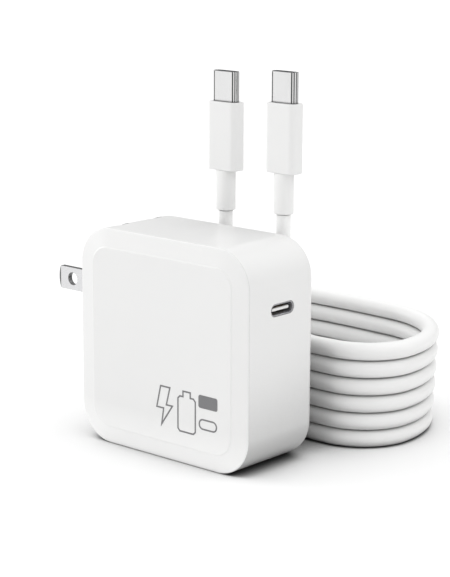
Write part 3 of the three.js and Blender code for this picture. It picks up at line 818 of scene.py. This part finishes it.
def rim_profile(foot_y):
    """Profile of the sloped border, from the panel's foot, and of the rounded rim."""
    profile = [(foot_y + 0.0001, BORDER - 0.0005, BORDER_SLOPE - 90)]
    for i in range(9):
        turn = BORDER_SLOPE + (90 - BORDER_SLOPE) * i / 8
        y = PARTING_Y - PARTING_GAP - RIM_R * math.cos(math.radians(turn))
        profile.append((y, RIM_R * (1 - math.sin(math.radians(turn))), turn - 90))
    return profile


def make_cover():
    """Front cover: raised panel with a rounded edge, sloped border, thin rim, and its inner lip."""
    profile = panel_profile()
    below = len(profile)
    profile += rim_profile(profile[-1][0])
    stations = [(y, inset) for k, (y, inset, _) in enumerate(profile) if k != below]
    stations.append((PARTING_Y, 0.02))
    cover = solid(*skin(case_rings(stations)))
    lip = solid(*skin(case_rings([(PARTING_Y - 0.3, LIP_OUTSIDE), (LIP_BACK, LIP_OUTSIDE)])))
    hollow = solid(*skin(case_rings([(COVER_INSIDE, LIP_INSIDE), (LIP_BACK + 0.4, LIP_INSIDE)])))
    combine(cover, "UNION", lip)
    combine(cover, "DIFFERENCE", hollow)
    finish_piece(named(cover, "cover"), "case", "cover_plastic", ["front_cover"], 25)
    case_normals(cover, profile)


def blade_slots(depth_x, low):
    """Two cuts, one for each blade, from the outside in to depth_x and from low up."""
    tools = []
    for y in (-BLADE_Y, BLADE_Y):
        slot = block(LEFT_OF_CASE, depth_x, y - SLOT_W / 2, y + SLOT_W / 2, low, ABOVE_CASE)
        tools.append(solid(*slot))
    return tools


def make_housing():
    """The tub behind the cover, with the socket's hole, the prong opening and the blade channels."""
    start = PARTING_Y + PARTING_GAP
    stations = [(start, 0.02), (start + 0.02, 0)]
    profile = [(start + 0.02, 0, 0)]
    for i in range(19):
        angle = i / 18 * math.pi / 2
        y = REAR_Y - REAR_ROUND_DEPTH * (1 - math.sin(angle))
        inset = REAR_ROUND_SIDE * (1 - math.cos(angle))
        stations.append((y, inset))
        lean = math.atan2(REAR_ROUND_SIDE * math.sin(angle), REAR_ROUND_DEPTH * math.cos(angle))
        profile.append((y, inset, math.degrees(lean)))
    housing = solid(*skin(case_rings(stations)))
    hollow = [(-16, WALL), (REAR_Y - WALL - 1, WALL), (REAR_Y - WALL, WALL + 1)]
    tools = [solid(*skin(case_rings(hollow)))]
    reach = CRADLE_HALF_Y + FRAME_GAP
    opening = block(LEFT_OF_CASE, -27, -reach, reach, FRAME_LOW - FRAME_GAP, FRAME_HIGH + FRAME_GAP)
    tools.append(solid(*opening))
    lip = [(27, 9.2, 3.3, 1.6), (29.88, 9.2, 3.3, 1.6), (30.001, 9.4, 3.5, 1.7), (31, 9.4, 3.5, 1.7)]
    tools.append(solid(*skin(side_rings(lip, 8))))
    tools += blade_slots(SLOT_DEPTH_X, 48) + blade_slots(SCOOP_X, SCOOP_Z)
    combine(housing, "DIFFERENCE", *tools)
    finish_piece(named(housing, "housing"), "case", "case_plastic", ["rear_housing"], 25)
    case_normals(housing, profile)


def make_socket():
    """Socket shell with a rolled rim, and the tongue with its contact strips."""
    w, h, r = PORT_W - 2 * PORT_WALL, PORT_H - 2 * PORT_WALL, PORT_R - PORT_WALL
    stations = [
        (PORT_BACK, PORT_W, PORT_H, PORT_R),
        (PORT_FRONT - 0.1, PORT_W, PORT_H, PORT_R),
        (PORT_FRONT, PORT_W - 0.14, PORT_H - 0.14, PORT_R - 0.07),
        (PORT_FRONT, w + 0.14, h + 0.14, r + 0.07),
        (PORT_FRONT - 0.12, w, h, r),
        (PORT_BACK, w, h, r),
    ]
    verts, faces = tube(side_rings(stations, 8))
    shell = add_piece("socket_shell", verts, flipped(faces), "case", "socket_steel", ["usb_shell"])
    weigh_normals(shell)
    tip = PORT_FRONT - 0.5
    w, t = TONGUE_W, TONGUE_T
    stations = [(PORT_BACK + 1, w, t, 0.1), (tip - 0.15, w, t, 0.1), (tip, w - 0.3, t - 0.3, 0.1)]
    verts, faces = skin(side_rings(stations, 2))
    tongue = named(solid(verts, flipped(faces)), "socket_tongue")
    finish_piece(tongue, "case", "tongue_plastic", ["usb_tongue"])
    for side in (-1, 1):
        add_contacts(side, tip)


def add_contacts(side, tip):
    """The row of contact strips on one face of the tongue."""
    verts, faces = [], []
    face_z = PORT_Z + side * TONGUE_T / 2
    z0, z1 = sorted((face_z - side * 0.05, face_z + side * 0.02))
    for k in range(CONTACTS):
        y = (k - (CONTACTS - 1) / 2) * CONTACT_PITCH
        y0, y1 = y - CONTACT_HALF_W, y + CONTACT_HALF_W
        more, sides = block(PORT_BACK + 1.8, tip - 0.5, y0, y1, z0, z1)
        faces += [tuple(len(verts) + i for i in face) for face in sides]
        verts += more
    add_piece("tongue_contacts_" + ("low", "high")[side > 0], verts, faces, "case", "bronze")


# ---------------------------------------------------------------- prongs


def make_cradle():
    """Insert in the left wall, with the rotor's pocket and the channels the blades fold into."""
    inside = solid(*block(-27.7, -18.6, -CRADLE_HALF_Y, CRADLE_HALF_Y, 31, 50))
    channel = solid(*block(-27.9, -20.9, -CHANNEL_HALF_Y, CHANNEL_HALF_Y, 45, 59))
    frame_part = solid(*block(-29.9, -27, -CRADLE_HALF_Y, CRADLE_HALF_Y, FRAME_LOW, FRAME_HIGH))
    round_edges(frame_part, 0.3, 3, 40)
    bake(frame_part)
    hollow = solid(*skin(case_rings([(-20, WALL + 0.2), (20, WALL + 0.2)])))
    wall_x, wall_z = SCOOP_X + SCOOP_WALL, SCOOP_Z - SCOOP_WALL
    scoop_wall = solid(*block(-21.2, wall_x, -SCOOP_HALF_Y, SCOOP_HALF_Y, wall_z, 59))
    combine(inside, "UNION", channel, scoop_wall)
    combine(inside, "INTERSECT", hollow)
    combine(inside, "UNION", frame_part)
    reach = ROTOR_HALF_Y + 0.4
    pocket = solid(*prism_xz(circle(PIVOT_X, PIVOT_Z, POCKET_R, 96), -reach, reach))
    combine(pocket, "INTERSECT", solid(*block(-27.4, -10, -12, 12, 20, 60)))
    mouth = solid(*block(LEFT_OF_CASE, -27.3, -reach, reach, MOUTH_LOW, MOUTH_HIGH))
    hole_r, hole_reach = AXLE_R + 0.3, AXLE_HALF_Y + 0.2
    axle_hole = solid(*prism_xz(circle(PIVOT_X, PIVOT_Z, hole_r, 32), -hole_reach, hole_reach))
    windows = [solid(*block(-21.5, -17, y - 1.1, y + 1.1, 38.1, 39.5)) for y in (-BLADE_Y, BLADE_Y)]
    slots = blade_slots(SLOT_DEPTH_X, 45) + blade_slots(SCOOP_X, SCOOP_Z)
    combine(inside, "DIFFERENCE", pocket, mouth, axle_hole, *windows, *slots)
    finish_piece(named(inside, "cradle"), "case", "cradle_plastic", ["prong_cradle"], 30)


def make_rotor():
    """The block that turns the blades: a square section with one corner rounded about the pivot."""
    corners = ((5.5, 5.7, 2.6), (-1.5, 5.7, 0.5), (-1.5, -1.5, 1.5), (5.5, -1.5, 0.5))
    outline = []
    for quarter, (x, z, r) in enumerate(corners):
        cx, cz = x - math.copysign(r, x), z - math.copysign(r, z)
        outline += arc(PIVOT_X + cx, PIVOT_Z + cz, r, quarter, 12)
    rotor = solid(*prism_xz(outline, -ROTOR_HALF_Y, ROTOR_HALF_Y))
    round_edges(rotor, 0.2, 3, 40)
    bake(rotor)
    axle = prism_xz(circle(PIVOT_X, PIVOT_Z, AXLE_R, 32), -AXLE_HALF_Y, AXLE_HALF_Y)
    combine(rotor, "UNION", solid(*axle))
    half = BLADE_T / 2 + 0.02
    for y in (-BLADE_Y, BLADE_Y):
        slit = block(LEFT_OF_CASE, -22, y - half, y + half, BLADE_SLIT_LOW, BLADE_SLIT_HIGH)
        combine(rotor, "DIFFERENCE", solid(*slit))
    finish_piece(named(rotor, "rotor"), "prongs", "rotor_plastic", ["prong_rotor"], 30)


def tip_taper(y, sign, low):
    """Wedge that thins one face of a blade towards its tip."""
    face = y + sign * BLADE_T / 2
    corners = [
        (BLADE_TIP_X - 0.5, face + sign * 0.2),
        (BLADE_TIP_X + 1.4, face + sign * 0.2),
        (BLADE_TIP_X + 1.05, face),
        (BLADE_TIP_X - 0.5, face - sign * 0.5),
    ]
    if sign < 0:
        corners.reverse()
    rings = [[(x, v, z) for x, v in corners] for z in (low + 8, low - 1)]
    return solid(*skin(rings))


def make_blade(name, side, node):
    y = side * BLADE_Y
    y0, y1 = y - BLADE_T / 2, y + BLADE_T / 2
    low, high = BLADE_Z - BLADE_W / 2, BLADE_Z + BLADE_W / 2
    shoulder = PIVOT_X - 1.52
    outline = [(-24.9, 45.3), (shoulder, 45.3), (shoulder, high)]
    for i in range(17):
        rise = BLADE_W / 2 * (1 - i / 8)
        bow = BLADE_BOW_R - math.sqrt(BLADE_BOW_R**2 - rise**2)
        outline.append((BLADE_TIP_X + bow, BLADE_Z + rise))
    outline += [(shoulder, low), (shoulder, 40.9), (-21.9, 40.9), (-21.9, 42.3), (-22.9, 42.9)]
    blade = solid(*prism_xz(outline, y0, y1))
    hole = solid(*prism_xz(circle(BLADE_HOLE_X, BLADE_Z, BLADE_HOLE_R, 40), y0 - 1, y1 + 1))
    combine(blade, "DIFFERENCE", hole, *[tip_taper(y, sign, low) for sign in (-1, 1)])
    round_edges(blade, 0.22, 3, 40)
    bake(blade)
    finish_piece(named(blade, name), "prongs", "blade_nickel", [node], 40)
    weigh_normals(blade)


# ---------------------------------------------------------------- stage


def make_stage():
    mesh = bpy.data.meshes.new("floor")
    corners = [(x * FLOOR_HALF, y * FLOOR_HALF, 0) for x, y in ((-1, -1), (1, -1), (1, 1), (-1, 1))]
    mesh.from_pydata(corners, [], [(0, 1, 2, 3)])
    floor = bpy.data.objects.new("floor", mesh)
    bpy.context.collection.objects.link(floor)
    material, nodes, links, shader, place = node_tree("floor_paper")
    cloudy = noise(nodes, links, place, 3, 2)
    paper = tint(nodes, links, cloudy, (0.86, 0.86, 0.86), (0.88, 0.88, 0.88))
    # Painted contact shadow: the paper darkens where the object closes in on it.
    links.new(painted_hollow_shade(nodes, links, paper, 20, CONTACT_SHADOW), shader.inputs["Base Color"])
    shader.inputs["Roughness"].default_value = 0.9
    shader.inputs["Specular IOR Level"].default_value = 0.1
    mesh.materials.append(material)


def make_world():
    """Even white surround, brighter overhead, with a dark low band behind that gives metal its edges."""
    world = bpy.data.worlds.new("studio")
    bpy.context.scene.world = world
    world.use_nodes = True
    nodes, links = world.node_tree.nodes, world.node_tree.links
    background = nodes["Background"]
    background.inputs["Color"].default_value = (1, 1, 1, 1)
    place = nodes.new("ShaderNodeTexCoord")
    split = nodes.new("ShaderNodeSeparateXYZ")
    links.new(place.outputs["Generated"], split.inputs[0])
    height = split.outputs["Z"]
    behind = nodes.new("ShaderNodeVectorMath")
    behind.operation = "DOT_PRODUCT"
    behind.inputs[1].default_value = (-0.66, 0.75, 0)
    links.new(place.outputs["Generated"], behind.inputs[0])
    band = nodes.new("ShaderNodeMath")
    band.operation = "MULTIPLY"
    links.new(ranged(nodes, links, behind.outputs["Value"], 0.2, 0.6, 0, 1), band.inputs[0])
    links.new(ranged(nodes, links, height, 0.2, 0.42, 1, 0), band.inputs[1])
    glow = nodes.new("ShaderNodeMath")
    glow.operation = "MULTIPLY"
    links.new(ranged(nodes, links, height, 0.1, 1, SKY_LOW, SKY_HIGH), glow.inputs[0])
    links.new(ranged(nodes, links, band.outputs[0], 0, 1, 1, 0.45), glow.inputs[1])
    links.new(glow.outputs[0], background.inputs["Strength"])


def soft_sun(name, towards, power, spread_degrees):
    """A far softbox seen in the direction towards, from the object."""
    light = bpy.data.lights.new(name, "SUN")
    light.energy = power
    light.angle = math.radians(spread_degrees)
    lamp = bpy.data.objects.new(name, light)
    bpy.context.collection.objects.link(lamp)
    lamp.rotation_euler = Vector(towards).to_track_quat("Z", "Y").to_euler()


def make_light():
    make_world()
    soft_sun("back_top", (0.45, 0.3, 0.84), 0.28, 60)
    soft_sun("front_left", (-0.9, -0.36, 0.14), 1.15, 40)
    bpy.context.scene.view_settings.view_transform = "Standard"


# ---------------------------------------------------------------- build

make_camera()
MATERIALS = make_materials()
cord = make_cord()
plug_pieces = make_plug("a", PLUG_A) + make_plug("b", PLUG_B)
make_cover()
make_housing()
make_socket()
make_cradle()
make_rotor()
make_blade("blade_front", -1, "prong_front")
make_blade("blade_rear", 1, "prong_rear")
make_stage()
make_light()
